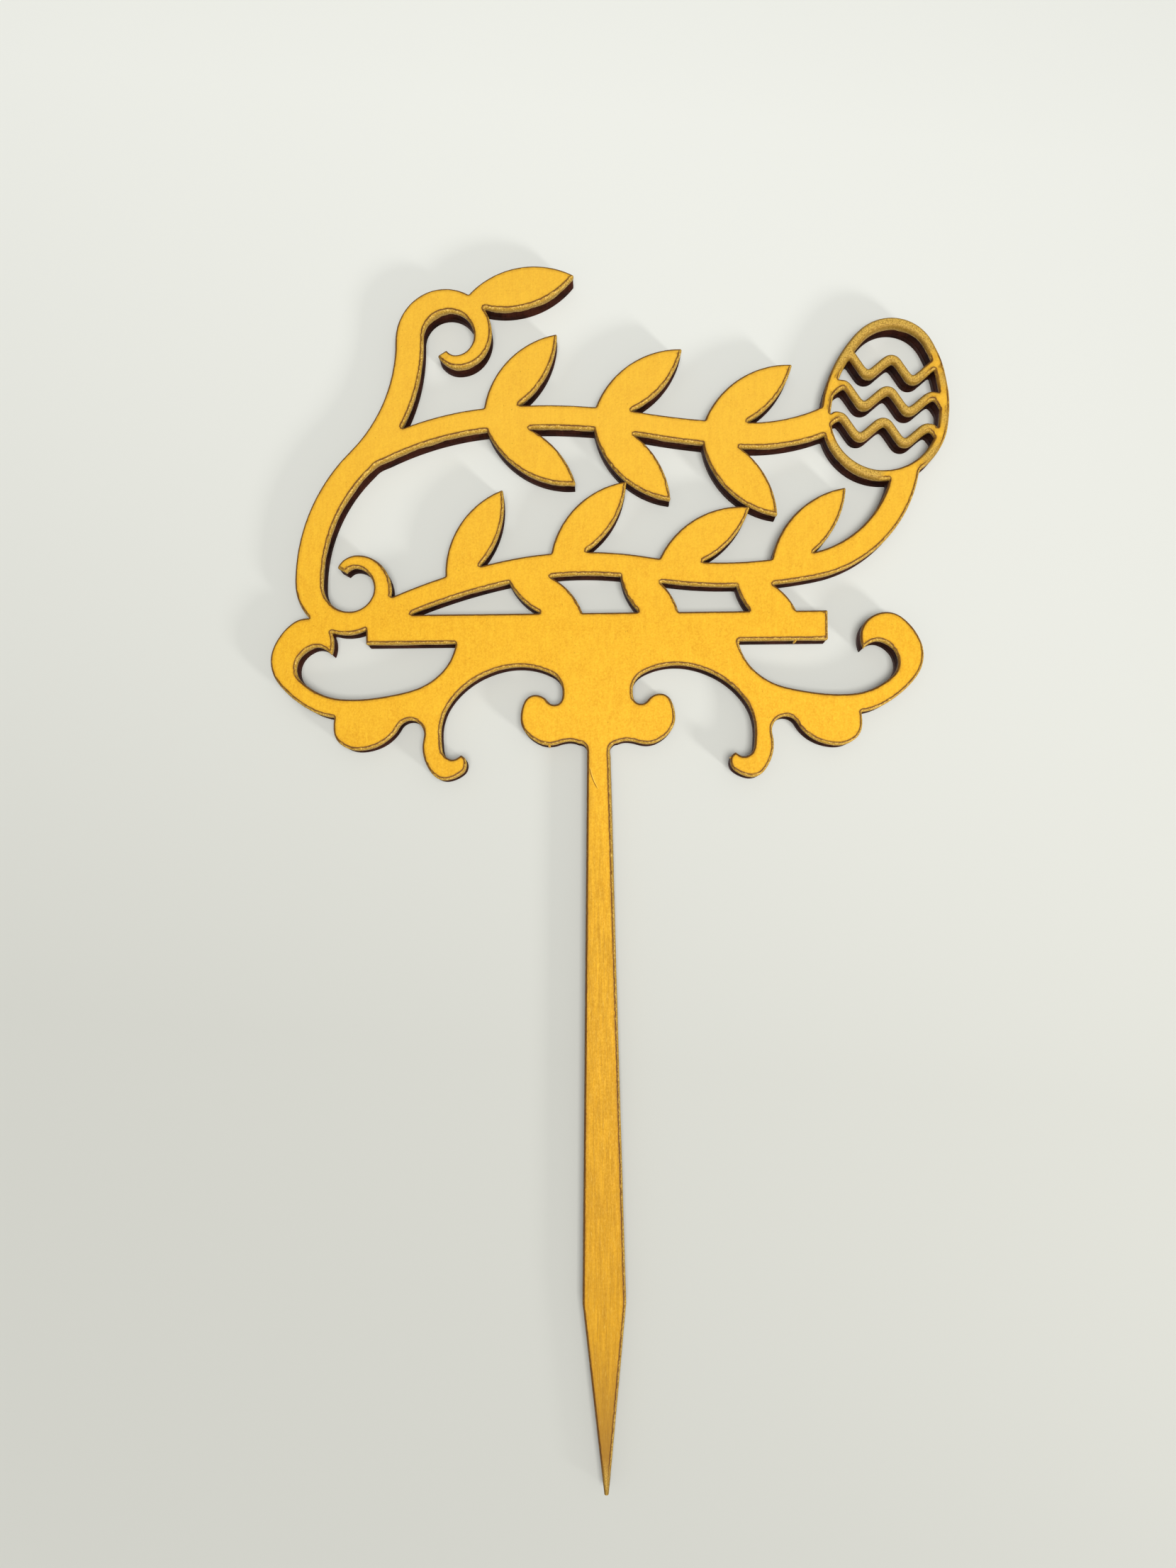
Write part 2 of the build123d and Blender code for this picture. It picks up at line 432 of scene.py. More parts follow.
plies = {
    "arris": 0.34,       # radius of the front edge, eased by the burn and the coat
    "bandArris": 0.16,   # thin bands are rounder by this
    "thin": (0.8, 0.5),  # breadths between which a band becomes thin
    "underCoat": 0.012,  # the wood starts this far behind the sheet's front
    "striae": 0.022,     # depth of the marks that the beam leaves down the wall
    "striaeWaves": ((1, 3.2, 21), (0.5, 9.0, 23)),  # share, frequency and seed
    "striaeDrift": 0.05,  # how much they change down the wall
    "striaeFrom": 0.15,  # share of the sheet's depth at which they are full
    "taper": 0.05,       # the cut leans in towards the back
    "sharpDeg": 60,
    "frontShares": (0, 0.15, 0.3),  # shares of the sheet's depth of each ply's rows
    "frontStep": 0.25,   # depth of the front ply's middle row below its round edge
    "coreShares": (0.3, 0.7),
    "coreRows": 4,
    "coreRecess": 0.03,  # the core's end grain burns back more
    "coreSeed": 2,
    "coreSharpDeg": 40,
    "backShares": (0.7, 0.9, 1),
    "backArris": 0.12,   # edge of the bare back
    "backSeed": 4,
}


def wallRow(share, depth, recess=0.0, seed=0.0):
    # a wall row with beam marks; share runs from the front of the sheet to its back
    drift = plies["striaeDrift"] * depth + seed
    marks = sum(part * wave(*form, drift) for part, *form in plies["striaeWaves"])
    strength = plies["striae"] * min(1, share / plies["striaeFrom"])
    return rowAt(strength * marks - recess - plies["taper"] * share, depth)


def makeFrontPly():
    top = sheet["front"] + plies["underCoat"]
    arris = frontArris()
    depths = (top + arris, top + arris + plies["frontStep"], sheet["coreFront"])
    rows = [wallRow(share, depth) for share, depth in zip(plies["frontShares"], depths)]
    faceDepth = top + roundArris(innerEdge, arris[innerNear])
    points = np.stack([inner[:, 0], faceDepth, inner[:, 1]], axis=1)
    obj = sheetMesh("frontPly", rows, front=(fineFace, points), back=(plainFace, ()))
    smoothFaces(obj, plies["sharpDeg"])
    return obj


def makeCorePly():
    count, recess, seed = plies["coreRows"], plies["coreRecess"], plies["coreSeed"]
    depths = np.linspace(sheet["coreFront"], sheet["coreBack"], count)
    shares = np.linspace(*plies["coreShares"], count)
    rows = [wallRow(share, depth, recess, seed) for share, depth in zip(shares, depths)]
    obj = sheetMesh("corePly", rows, front=(plainFace, ()), back=(plainFace, ()))
    smoothFaces(obj, plies["coreSharpDeg"])
    return obj


def makeBackPly():
    arris, bottom = plies["backArris"], sheet["back"]
    depths = (sheet["coreBack"], bottom - 2 * arris, bottom - arris)
    rows = [wallRow(share, depth, 0, plies["backSeed"]) for share, depth in zip(plies["backShares"], depths)]
    points = np.stack([inner[:, 0], bottom - roundArris(innerEdge, arris), inner[:, 1]], axis=1)
    obj = sheetMesh("backPly", rows, front=(plainFace, ()), back=(fineFace, points))
    smoothFaces(obj, plies["sharpDeg"])
    return obj


goldPaint, frontPly, corePly, backPly = makePaint(), makeFrontPly(), makeCorePly(), makeBackPly()
print("plies:", [(o.name, len(o.data.polygons)) for o in (goldPaint, frontPly, corePly, backPly)])


# Beads of paint along the arris, placed by Geometry Nodes

beads = {
    "spacing": 0.7,
    "radius": 0.055,
    "smallest": 0.35,  # the least share of that radius
    "share": 0.55,     # how many of the places have one where the spray came from
    "inset": 0.1,      # distance in from the rim
    "roundness": 2,
    "seed": 4,
}


def rimCurve(name, inset, depth):
    row = rowAt(-inset, depth)
    mesh = bpy.data.meshes.new(name)
    edges = [(k, int(cut.next[k])) for k in range(len(row))]
    mesh.from_pydata([tuple(v * mm) for v in row], edges, [])
    layer = mesh.attributes.new("sprayAndLight", "FLOAT", "POINT")
    layer.data.foreach_set("value", towards.astype(np.float32))
    obj = bpy.data.objects.new(name, mesh)
    scene.collection.objects.link(obj)
    return obj


def beadTree():
    tree = bpy.data.node_groups.new("beadsOnRim", "GeometryNodeTree")
    tree.interface.new_socket("Geometry", in_out="INPUT", socket_type="NodeSocketGeometry")
    for name in ("Spacing", "Radius", "Smallest", "Share"):
        tree.interface.new_socket(name, in_out="INPUT", socket_type="NodeSocketFloat")
    tree.interface.new_socket("Seed", in_out="INPUT", socket_type="NodeSocketInt")
    tree.interface.new_socket("Finish", in_out="INPUT", socket_type="NodeSocketMaterial")
    tree.interface.new_socket("Geometry", in_out="OUTPUT", socket_type="NodeSocketGeometry")
    add, link = tree.nodes.new, tree.links.new
    given, result = add("NodeGroupInput"), add("NodeGroupOutput")
    curve, spread = add("GeometryNodeMeshToCurve"), add("GeometryNodeResampleCurve")
    spread.mode = "LENGTH"
    chance, likely = add("FunctionNodeRandomValue"), add("ShaderNodeMath")
    chance.data_type = "BOOLEAN"
    likely.operation, likely.use_clamp = "MULTIPLY_ADD", True
    facingSprayAndLight = add("GeometryNodeInputNamedAttribute")
    facingSprayAndLight.inputs["Name"].default_value = "sprayAndLight"
    size, turn = add("FunctionNodeRandomValue"), add("FunctionNodeRandomValue")
    turn.data_type = "FLOAT_VECTOR"
    turn.inputs["Max"].default_value = (math.tau, math.tau, math.tau)
    ball, place = add("GeometryNodeMeshIcoSphere"), add("GeometryNodeInstanceOnPoints")
    ball.inputs["Subdivisions"].default_value = beads["roundness"]
    real, finish = add("GeometryNodeRealizeInstances"), add("GeometryNodeSetMaterial")
    link(given.outputs["Geometry"], curve.inputs["Mesh"])
    link(curve.outputs["Curve"], spread.inputs["Curve"])
    link(given.outputs["Spacing"], spread.inputs["Length"])
    link(facingSprayAndLight.outputs["Attribute"], likely.inputs[0])
    link(given.outputs["Share"], likely.inputs[1])
    likely.inputs[2].default_value = 0
    link(likely.outputs[0], chance.inputs["Probability"])
    link(given.outputs["Smallest"], size.inputs[2])
    size.inputs[3].default_value = 1
    for node in (chance, size, turn):
        link(given.outputs["Seed"], node.inputs["Seed"])
    link(given.outputs["Radius"], ball.inputs["Radius"])
    link(spread.outputs["Curve"], place.inputs["Points"])
    link(chance.outputs[3], place.inputs["Selection"])
    link(ball.outputs["Mesh"], place.inputs["Instance"])
    link(turn.outputs["Value"], place.inputs["Rotation"])
    link(size.outputs[1], place.inputs["Scale"])
    link(place.outputs["Instances"], real.inputs["Geometry"])
    link(real.outputs["Geometry"], finish.inputs["Geometry"])
    link(given.outputs["Finish"], finish.inputs["Material"])
    link(finish.outputs["Geometry"], result.inputs["Geometry"])
    return tree


def makeBeads(finish):
    inset = beads["inset"]
    depth = sheet["front"] - paint["film"] + roundArris(inset, frontArris())
    obj = rimCurve("paintBeads", inset, depth)
    grown = obj.modifiers.new("beads", "NODES")
    grown.node_group = beadTree()
    sockets = grown.node_group.interface.items_tree
    ids = {s.name: s.identifier for s in sockets if s.in_out == "INPUT"}
    grown[ids["Spacing"]] = beads["spacing"] * mm
    grown[ids["Radius"]] = beads["radius"] * mm
    grown[ids["Smallest"]] = beads["smallest"]
    grown[ids["Share"]] = beads["share"]
    grown[ids["Seed"]] = beads["seed"]
    grown[ids["Finish"]] = finish
    bakeModifiers(obj)
    smoothFaces(obj)
    return obj


# Drips that ran down a wall

drips = {
    "spots": (  # X, Z, width and length
        (30.4, 15.3, 0.42, 2.2),
        (-7.7, -0.9, 0.42, 2.6),
        (21.6, 15.3, 0.25, 0.9),
        (17.4, -1.2, 0.25, 0.9),
    ),
    "thick": 0.17,
    "start": 0.12,  # depth behind the front at which they start
    "roundness": 3,
    "openFace": 2,  # value of their attributes, so that they are coloured as the open face is
}


def makeDrips():
    bm = bmesh.new()
    for x, z, width, length in drips["spots"]:
        k = cut.near(np.array((x, z)))[0]
        p, out = cut.points[k], cut.out[k]
        across, along = Vector((out[0], 0, out[1])), Vector((-out[1], 0, out[0]))
        sides = (along * width / 2, Vector((0, length / 2, 0)), across * drips["thick"])
        middle = Vector((p[0], sheet["front"] + drips["start"] + length / 2, p[1]))
        place = Matrix.Translation(middle * mm) @ Matrix(sides).transposed().to_4x4()
        bmesh.ops.create_icosphere(bm, subdivisions=drips["roundness"], radius=mm, matrix=place)
    bmesh.ops.recalc_face_normals(bm, faces=bm.faces)
    mesh = bpy.data.meshes.new("paintDrips")
    bm.to_mesh(mesh)
    value = np.full(len(mesh.vertices), drips["openFace"], np.float32)
    for key in ("edge", "breadth", "sprayAndLight"):
        layer = mesh.attributes.new(key, "FLOAT", "POINT")
        layer.data.foreach_set("value", value)
    obj = bpy.data.objects.new("paintDrips", mesh)
    scene.collection.objects.link(obj)
    smoothFaces(obj)
    return obj


# Shader groups

floatKind, vectorKind = "NodeSocketFloat", "NodeSocketVector"


def shaderGroup(name, inputs, outputs):
    tree = bpy.data.node_groups.new(name, "ShaderNodeTree")
    for key, kind, value in inputs:
        made = tree.interface.new_socket(key, in_out="INPUT", socket_type=kind)
        if value is not None:
            made.default_value = value
    for key in outputs:
        tree.interface.new_socket(key, in_out="OUTPUT", socket_type=floatKind)
    return tree, tree.nodes.new("NodeGroupInput").outputs, tree.nodes.new("NodeGroupOutput").inputs


def addNode(tree, kind, values=(), **settings):
    # a value is a number, or a socket to link
    node = tree.nodes.new(kind)
    for key, value in settings.items():
        setattr(node, key, value)
    for key, value in dict(values).items():
        if isinstance(value, bpy.types.NodeSocket):
            tree.links.new(value, node.inputs[key])
        else:
            node.inputs[key].default_value = value
    return node


def noiseOf(tree, vector, scale, detail=4.0, rough=0.55):
    values = {"Vector": vector, "Scale": scale, "Detail": detail, "Roughness": rough}
    return addNode(tree, "ShaderNodeTexNoise", values).outputs["Fac"]


def spanOf(tree, value, low, high, toLow=0.0, toHigh=1.0):
    values = {"Value": value, "From Min": low, "From Max": high, "To Min": toLow, "To Max": toHigh}
    return addNode(tree, "ShaderNodeMapRange", values).outputs["Result"]


def mathOf(tree, operation, a, b=0.0):
    return addNode(tree, "ShaderNodeMath", {0: a, 1: b}, operation=operation).outputs[0]


def timesOf(tree, a, b):
    return mathOf(tree, "MULTIPLY", a, b)


def blendOf(tree, share, a, b):
    return addNode(tree, "ShaderNodeMix", {0: share, 2: a, 3: b}).outputs[0]


def mixOf(tree, share, a, b):
    return addNode(tree, "ShaderNodeMix", {0: share, 6: a, 7: b}, data_type="RGBA").outputs[2]


def axesOf(tree, vector):
    return addNode(tree, "ShaderNodeSeparateXYZ", {0: vector}).outputs


grainLook = {
    "scale": 900,
    "upright": (1, 1, 0.05),  # draws the streaks out along Z
    "level": (0.05, 1, 1),    # and along X
    "broad": (5, 0.6),        # detail and roughness of the noises
    "fine": (2, 0.5),
    "fineTimes": 4.5,         # scale of the fine noise to the broad one's
    "fineShare": 0.4,
    "streak": (0.34, 0.66),   # levels of the noise between which a mark sets in
    "pore": (0.62, 0.74),
}


def grainGroup():
    # streaks of wood grain; Stretch draws them out along one axis
    look = grainLook
    tree, given, result = shaderGroup("woodGrain", [
        ("Vector", vectorKind, None),
        ("Stretch", vectorKind, look["upright"]),
        ("Scale", floatKind, look["scale"]),
    ], ["Streak", "Pore"])
    mapping = {"Vector": given["Vector"], "Scale": given["Stretch"]}
    drawn = addNode(tree, "ShaderNodeMapping", mapping).outputs[0]
    broad = noiseOf(tree, drawn, given["Scale"], *look["broad"])
    fine = noiseOf(tree, drawn, timesOf(tree, given["Scale"], look["fineTimes"]), *look["fine"])
    streak = blendOf(tree, look["fineShare"], broad, fine)
    tree.links.new(spanOf(tree, streak, *look["streak"]), result["Streak"])
    tree.links.new(spanOf(tree, fine, *look["pore"]), result["Pore"])
    return tree


pigmentLook = {
    "scale": 2600,
    "speckNoise": (3, 0.7),  # detail and roughness
    "cloudNoise": (4, 0.6),
    "skinNoise": (2, 0.5),
    "cloudTimes": 0.12,      # scales to the specks'
    "skinTimes": 0.5,
    "speck": (0.36, 0.66),
    "cloud": (0.35, 0.65),
    "speckHeight": 0.5,      # share of the specks in the skin's height
}


def pigmentGroup():
    # speckle of the metal pigment and the skin of the coat
    look = pigmentLook
    tree, given, result = shaderGroup("pigment", [
        ("Vector", vectorKind, None),
        ("Scale", floatKind, look["scale"]),
    ], ["Speck", "Cloud", "Height"])
    place, scale = given["Vector"], given["Scale"]
    speck = noiseOf(tree, place, scale, *look["speckNoise"])
    cloud = noiseOf(tree, place, timesOf(tree, scale, look["cloudTimes"]), *look["cloudNoise"])
    skin = noiseOf(tree, place, timesOf(tree, scale, look["skinTimes"]), *look["skinNoise"])
    tree.links.new(spanOf(tree, speck, *look["speck"]), result["Speck"])
    tree.links.new(spanOf(tree, cloud, *look["cloud"]), result["Cloud"])
    tree.links.new(blendOf(tree, look["speckHeight"], skin, speck), result["Height"])
    return tree


charLook = {
    "markNoise": (3.2, 3, 0.6),  # scale, detail and roughness
    "sootNoise": (420, 4, 0.6),
    "mark": (0.35, 0.65),
    "soot": (0.3, 0.7),
    "paleShare": 0.8,            # how far the wall's own tone replaces the soot
    "markShare": 0.5,            # and how far the marks bring it back
}


def charGroup():
    # soot and beam marks on a cut wall; Run is the distance along the cut in mm
    look = charLook
    tree, given, result = shaderGroup("laserChar", [
        ("Run", floatKind, 0),
        ("Vector", vectorKind, None),
    ], ["Mark", "Soot"])
    along = addNode(tree, "ShaderNodeCombineXYZ", {"X": given["Run"]}).outputs[0]
    mark = noiseOf(tree, along, *look["markNoise"])
    soot = noiseOf(tree, given["Vector"], *look["sootNoise"])
    tree.links.new(spanOf(tree, mark, *look["mark"]), result["Mark"])
    tree.links.new(spanOf(tree, soot, *look["soot"]), result["Soot"])
    return tree


groups = {"grain": grainGroup(), "pigment": pigmentGroup(), "char": charGroup()}


def useGroup(tree, key, values):
    return addNode(tree, "ShaderNodeGroup", values, node_tree=groups[key]).outputs


def newMaterial(name, **constants):
    material = bpy.data.materials.new(name)
    material.use_nodes = True
    tree = material.node_tree
    shader = tree.nodes["Principled BSDF"]
    for key, value in constants.items():
        shader.inputs[key.replace("_", " ")].default_value = value
    place = tree.nodes.new("ShaderNodeTexCoord").outputs["Object"]
    return material, tree, shader.inputs, place


def attributeOf(tree, name):
    return addNode(tree, "ShaderNodeAttribute", attribute_name=name).outputs["Fac"]


def bumpInto(tree, sockets, height, strength, distance):
    values = {"Height": height, "Strength": strength, "Distance": distance * mm}
    tree.links.new(addNode(tree, "ShaderNodeBump", values).outputs["Normal"], sockets["Normal"])


# Gold paint

goldTone = {
    "bright": (0.965, 0.548, 0.031, 1),
    "deep": (0.75, 0.35, 0.014, 1),
    "pale": (0.98, 0.6, 0.09, 1),
    "olive": (0.34, 0.15, 0.004, 1),
    # painted shade: darker gold down the stake and at its tip
    "stake": (0.68, 0.335, 0.012, 1),
    "tip": (0.28, 0.135, 0.026, 1),
    # painted shade towards the round rim
    "rimShade": (0.4, 0.18, 0.014, 1),
    # painted light: paler, brighter gold on the head
    "head": (0.97, 0.595, 0.085, 1),
    # painted shade on the round sides of thin bands and a painted highlight along their crest
    "bronze": (0.26, 0.14, 0.02, 1),
    "band": (0.8, 0.5, 0.095, 1),
    "line": (0.14, 0.055, 0.012, 1),
    # shade: painted shade on the rim away from the light; lip: the round edge, partly a thinner coat and
    # partly painted shade; glint: painted highlights; wash: paint run down a wall, paler where it faces the
    # light
    "shade": (0.17, 0.085, 0.02, 1),
    "lip": (0.46, 0.255, 0.03, 1),
    "glint": (0.95, 0.66, 0.17, 1),
    "wash": (0.42, 0.245, 0.045, 1),
}


scratch = {  # on the neck of the stake, in m
    "place": (-0.00158, 0, -0.0038),   # its upper end
    "turnDeg": -19.6,
    "middle": 0.0018,                  # distance of its bend from that end
    "bend": 60.0,
    "top": (0.0, -0.0004),             # heights between which it sets in and ends
    "foot": (-0.0038, -0.003),
    "dark": (0.00007, 0.00002),        # half widths of the line, from its rim to its middle
    "burr": (0.0001, 0.00003),
    "burrAside": 0.00016,
}


def scratchMask(tree, place):
    # a short curved scratch: a dark line, with a pale burr at its right
    turn = (0, math.radians(scratch["turnDeg"]), 0)
    mapping = {"Vector": place, "Location": scratch["place"], "Rotation": turn}
    turned = addNode(tree, "ShaderNodeMapping", mapping, vector_type="TEXTURE").outputs[0]
    axes = axesOf(tree, turned)
    fromMiddle = mathOf(tree, "ADD", axes["Z"], scratch["middle"])
    bend = timesOf(tree, timesOf(tree, fromMiddle, fromMiddle), scratch["bend"])
    across = mathOf(tree, "SUBTRACT", axes["X"], bend)
    aside = mathOf(tree, "SUBTRACT", across, scratch["burrAside"])
    top, foot = (spanOf(tree, axes["Z"], *scratch[key]) for key in ("top", "foot"))
    onLength = timesOf(tree, top, foot)
    dark = spanOf(tree, mathOf(tree, "ABSOLUTE", across), *scratch["dark"])
    burr = spanOf(tree, mathOf(tree, "ABSOLUTE", aside), *scratch["burr"])
    return timesOf(tree, dark, onLength), timesOf(tree, burr, onLength)


goldLook = {  # a span is low, high and what they become if not 0 and 1; heights in m
    "metal": 0.1,
    "specular": 0.12,
    "rough": (0, 1, 0.56, 0.4),          # by specks
    "bump": (0.3, 0.05),                 # strength and distance
    "pigmentScale": 3500.0,
    "grain": {"Scale": 3100.0, "Stretch": (1, 1, 0.06)},
    "weave": {"Scale": 1700.0, "Stretch": (1, 1, 0.2)},
    "weaveShare": 0.38,
    "cloudShare": 0.3,
    "onStake": (0.002, -0.03),
    # heights of the painted shade down the stake, of the painted light on the head and of the painted shade
    # at the tip
    "stakeShading": (0.005, -0.07, 0, 0.7),
    "headLighting": (0.018, 0.05, 0, 0.3),
    "tip": (-0.092, -0.112, 0, 0.75),
    "streaks": (0, 1, 0.1, 0.7),         # stronger on the stake
    "pores": (0, 1, 0.2, 0.6),
    "ridges": (0, 1, 0.3, 1.0),
    "pitNoise": (2900, 1, 0.5),          # scale, detail and roughness
    "pits": (0.74, 0.79, 0, 0.4),
    "burrShare": 0.6,
    "scratchDepth": 2.0,
}


def openFace(tree, place, pigment, grain, onStake, scratched):
    # colour of the paint away from the rim, with painted shade down the stake and at its tip and painted
    # light on the head
    look, tone = goldLook, goldTone
    height = axesOf(tree, place)["Z"]
    weave = useGroup(tree, "grain", {"Vector": place, **look["weave"]})
    mottle = blendOf(tree, look["weaveShare"], pigment["Speck"], weave["Streak"])
    colour = mixOf(tree, mottle, tone["deep"], tone["bright"])
    colour = mixOf(tree, timesOf(tree, pigment["Cloud"], look["cloudShare"]), colour, tone["bright"])
    # painted shade down the stake and painted light on the head, as the light falls off downwards
    colour = mixOf(tree, spanOf(tree, height, *look["stakeShading"]), colour, tone["stake"])
    colour = mixOf(tree, spanOf(tree, height, *look["headLighting"]), colour, tone["head"])
    streaks = timesOf(tree, grain["Streak"], spanOf(tree, onStake, *look["streaks"]))
    colour = mixOf(tree, streaks, colour, tone["olive"])
    pores = timesOf(tree, grain["Pore"], spanOf(tree, onStake, *look["pores"]))
    colour = mixOf(tree, pores, colour, tone["pale"])
    # painted shade darkening the tip
    colour = mixOf(tree, spanOf(tree, height, *look["tip"]), colour, tone["tip"])
    pits = spanOf(tree, noiseOf(tree, place, *look["pitNoise"]), *look["pits"])
    colour = mixOf(tree, pits, colour, tone["olive"])
    dark, burr = scratched
    colour = mixOf(tree, timesOf(tree, burr, look["burrShare"]), colour, tone["pale"])
    return mixOf(tree, dark, colour, tone["line"])


rimLook = {  # spans as above; noises are scale, detail and roughness; distances from the rim in mm
    "fineNoise": (4600, 2, 0.6),
    "driftNoise": (700, 4, 0.65),
    "lineNoise": (1300, 3, 0.6),
    "breakNoise": (1300, 4, 0.7),
    "litDrift": (0.3, 0.7, -0.5, 0.5),   # the side facing the spray and the light, blurred by the drift
    "lit": (-0.35, 0.45),
    # painted shade towards the round rim: its width and its drift
    "rimShade": (0.75, 0.1),
    "rimShadeDrift": (0.35, 0.65, 0.3, 0.85),
    "crest": (0.06, 0.5),                # painted highlight along the middle of a thin band
    "crestSpecks": (0.34, 0.6, 0.15, 1.0),
    "uneven": (0.3, 0.7, -0.07, 0.07),
    "lineAt": (0, 1, 0.19, 0.34),        # the dark line's place, on the unlit and the lit side
    "lineHalf": (0.17, 0.05),
    "lineBreaks": (0.3, 0.5, 0.45, 1.0),
    "lineOnThin": (0, 1, 1, 0.2),
    "glint": (0.48, 0.7),
    "glintLit": (0, 1, 0.1, 0.9),
    "lip": (-0.02, -0.09),
    "lipOnThin": (0, 1, 0.9, 0.3),
    "wash": (0.04, -0.1),
    "washGlint": 0.6,
}


def towardsRim(tree, place, colour):
    # painted shade towards the rim; thin bands with painted shade on their sides and a painted highlight on
    # the crest; a dark line; and a lip and a wall wash, paler with painted glints on the side facing the
    # spray and the light, in painted shade elsewhere
    look, tone = rimLook, goldTone
    edge, breadthHere, facingSprayAndLight = (attributeOf(tree, key) for key in ("edge", "breadth", "sprayAndLight"))
    fine, drift = (noiseOf(tree, place, *look[key]) for key in ("fineNoise", "driftNoise"))
    slim = spanOf(tree, breadthHere, *plies["thin"])
    blurred = mathOf(tree, "ADD", facingSprayAndLight, spanOf(tree, drift, *look["litDrift"]))
    lit = spanOf(tree, blurred, *look["lit"])
    # painted shade: darker towards the round rim
    rimShade = timesOf(tree, spanOf(tree, edge, *look["rimShade"]), spanOf(tree, drift, *look["rimShadeDrift"]))
    colour = mixOf(tree, rimShade, colour, tone["rimShade"])
    # thin bands: painted shade on their round sides, painted highlight along the crest
    crest = timesOf(tree, spanOf(tree, edge, *look["crest"]), spanOf(tree, fine, *look["crestSpecks"]))
    colour = mixOf(tree, slim, colour, mixOf(tree, crest, tone["bronze"], tone["band"]))

    wander = spanOf(tree, noiseOf(tree, place, *look["lineNoise"]), *look["uneven"])
    beyond = mathOf(tree, "SUBTRACT", mathOf(tree, "ADD", edge, wander), spanOf(tree, lit, *look["lineAt"]))
    line = spanOf(tree, mathOf(tree, "ABSOLUTE", beyond), *look["lineHalf"])
    broken = spanOf(tree, noiseOf(tree, place, *look["breakNoise"]), *look["lineBreaks"])
    line = timesOf(tree, timesOf(tree, line, broken), spanOf(tree, slim, *look["lineOnThin"]))
    # painted glints on the lip and the wash, on the side facing the light; the lip is paler there and in
    # painted shade elsewhere
    glint = timesOf(tree, spanOf(tree, fine, *look["glint"]), spanOf(tree, lit, *look["glintLit"]))
    lip = mixOf(tree, glint, mixOf(tree, lit, tone["shade"], tone["lip"]), tone["glint"])
    onLip = timesOf(tree, spanOf(tree, beyond, *look["lip"]), spanOf(tree, slim, *look["lipOnThin"]))
    colour = mixOf(tree, onLip, colour, lip)
    colour = mixOf(tree, line, colour, tone["line"])
    # painted light on the wash: paler with glints on the side facing the light, painted shade elsewhere
    wash = mixOf(tree, lit, tone["shade"], tone["wash"])
    wash = mixOf(tree, timesOf(tree, glint, look["washGlint"]), wash, tone["glint"])
    return mixOf(tree, spanOf(tree, edge, *look["wash"]), colour, wash)


def goldPaintMaterial():
    look = goldLook
    material, tree, sockets, place = newMaterial(
        "goldPaint", Metallic=look["metal"], Specular_IOR_Level=look["specular"])
    pigment = useGroup(tree, "pigment", {"Vector": place, "Scale": look["pigmentScale"]})
    grain = useGroup(tree, "grain", {"Vector": place, **look["grain"]})
    onStake = spanOf(tree, axesOf(tree, place)["Z"], *look["onStake"])
    scratched = scratchMask(tree, place)
    colour = openFace(tree, place, pigment, grain, onStake, scratched)
    tree.links.new(towardsRim(tree, place, colour), sockets["Base Color"])
    tree.links.new(spanOf(tree, pigment["Speck"], *look["rough"]), sockets["Roughness"])
    ridges = timesOf(tree, grain["Streak"], spanOf(tree, onStake, *look["ridges"]))
    skin = mathOf(tree, "ADD", pigment["Height"], ridges)
    skin = mathOf(tree, "SUBTRACT", skin, timesOf(tree, scratched[0], look["scratchDepth"]))
    bumpInto(tree, sockets, skin, *look["bump"])
    return material


# Charred walls and the bare back

charTone = {
    "soot": (0.014, 0.0045, 0.003, 1),
    "brown": (0.1, 0.024, 0.012, 1),
    "core": (0.13, 0.036, 0.019, 1),
}


def charredWall(tree, place, pale, stretch):
    # colour and height of a burnt wall
    char = useGroup(tree, "char", {"Run": attributeOf(tree, "run"), "Vector": place})
    grain = useGroup(tree, "grain", {"Vector": place, "Stretch": stretch})
    colour = mixOf(tree, timesOf(tree, char["Soot"], charLook["paleShare"]), charTone["soot"], pale)
    colour = mixOf(tree, timesOf(tree, char["Mark"], charLook["markShare"]), colour, charTone["soot"])
    return colour, mathOf(tree, "ADD", char["Mark"], grain["Streak"])


wallLook = {
    "rough": 0.8,
    "specular": 0.02,
    "bump": (0.5, 0.04),  # strength and distance
}


def wallMaterial(name, pale, stretch):
    material, tree, sockets, place = newMaterial(
        name, Roughness=wallLook["rough"], Specular_IOR_Level=wallLook["specular"])
    colour, height = charredWall(tree, place, pale, stretch)
    tree.links.new(colour, sockets["Base Color"])
    bumpInto(tree, sockets, height, *wallLook["bump"])
    return material


bareTone = {
    "pale": (0.74, 0.54, 0.34, 1),
    "streak": (0.55, 0.36, 0.2, 1),
    "pore": (0.36, 0.21, 0.1, 1),
    "smoke": (0.2, 0.1, 0.045, 1),
}


backLook = {
    "rough": 0.7,
    "specular": 0.04,
    "bump": (0.3, 0.04),
    "grainScale": 700.0,
    "poreShare": 0.5,
    "smoke": (1.1, 0.1),   # distances from the rim over which it is scorched
    "smokeScale": 260,
    "smokeDrift": (0.3, 0.7),
    "wall": (0.02, 0.14),  # and over which the burnt wall gives way to it
}


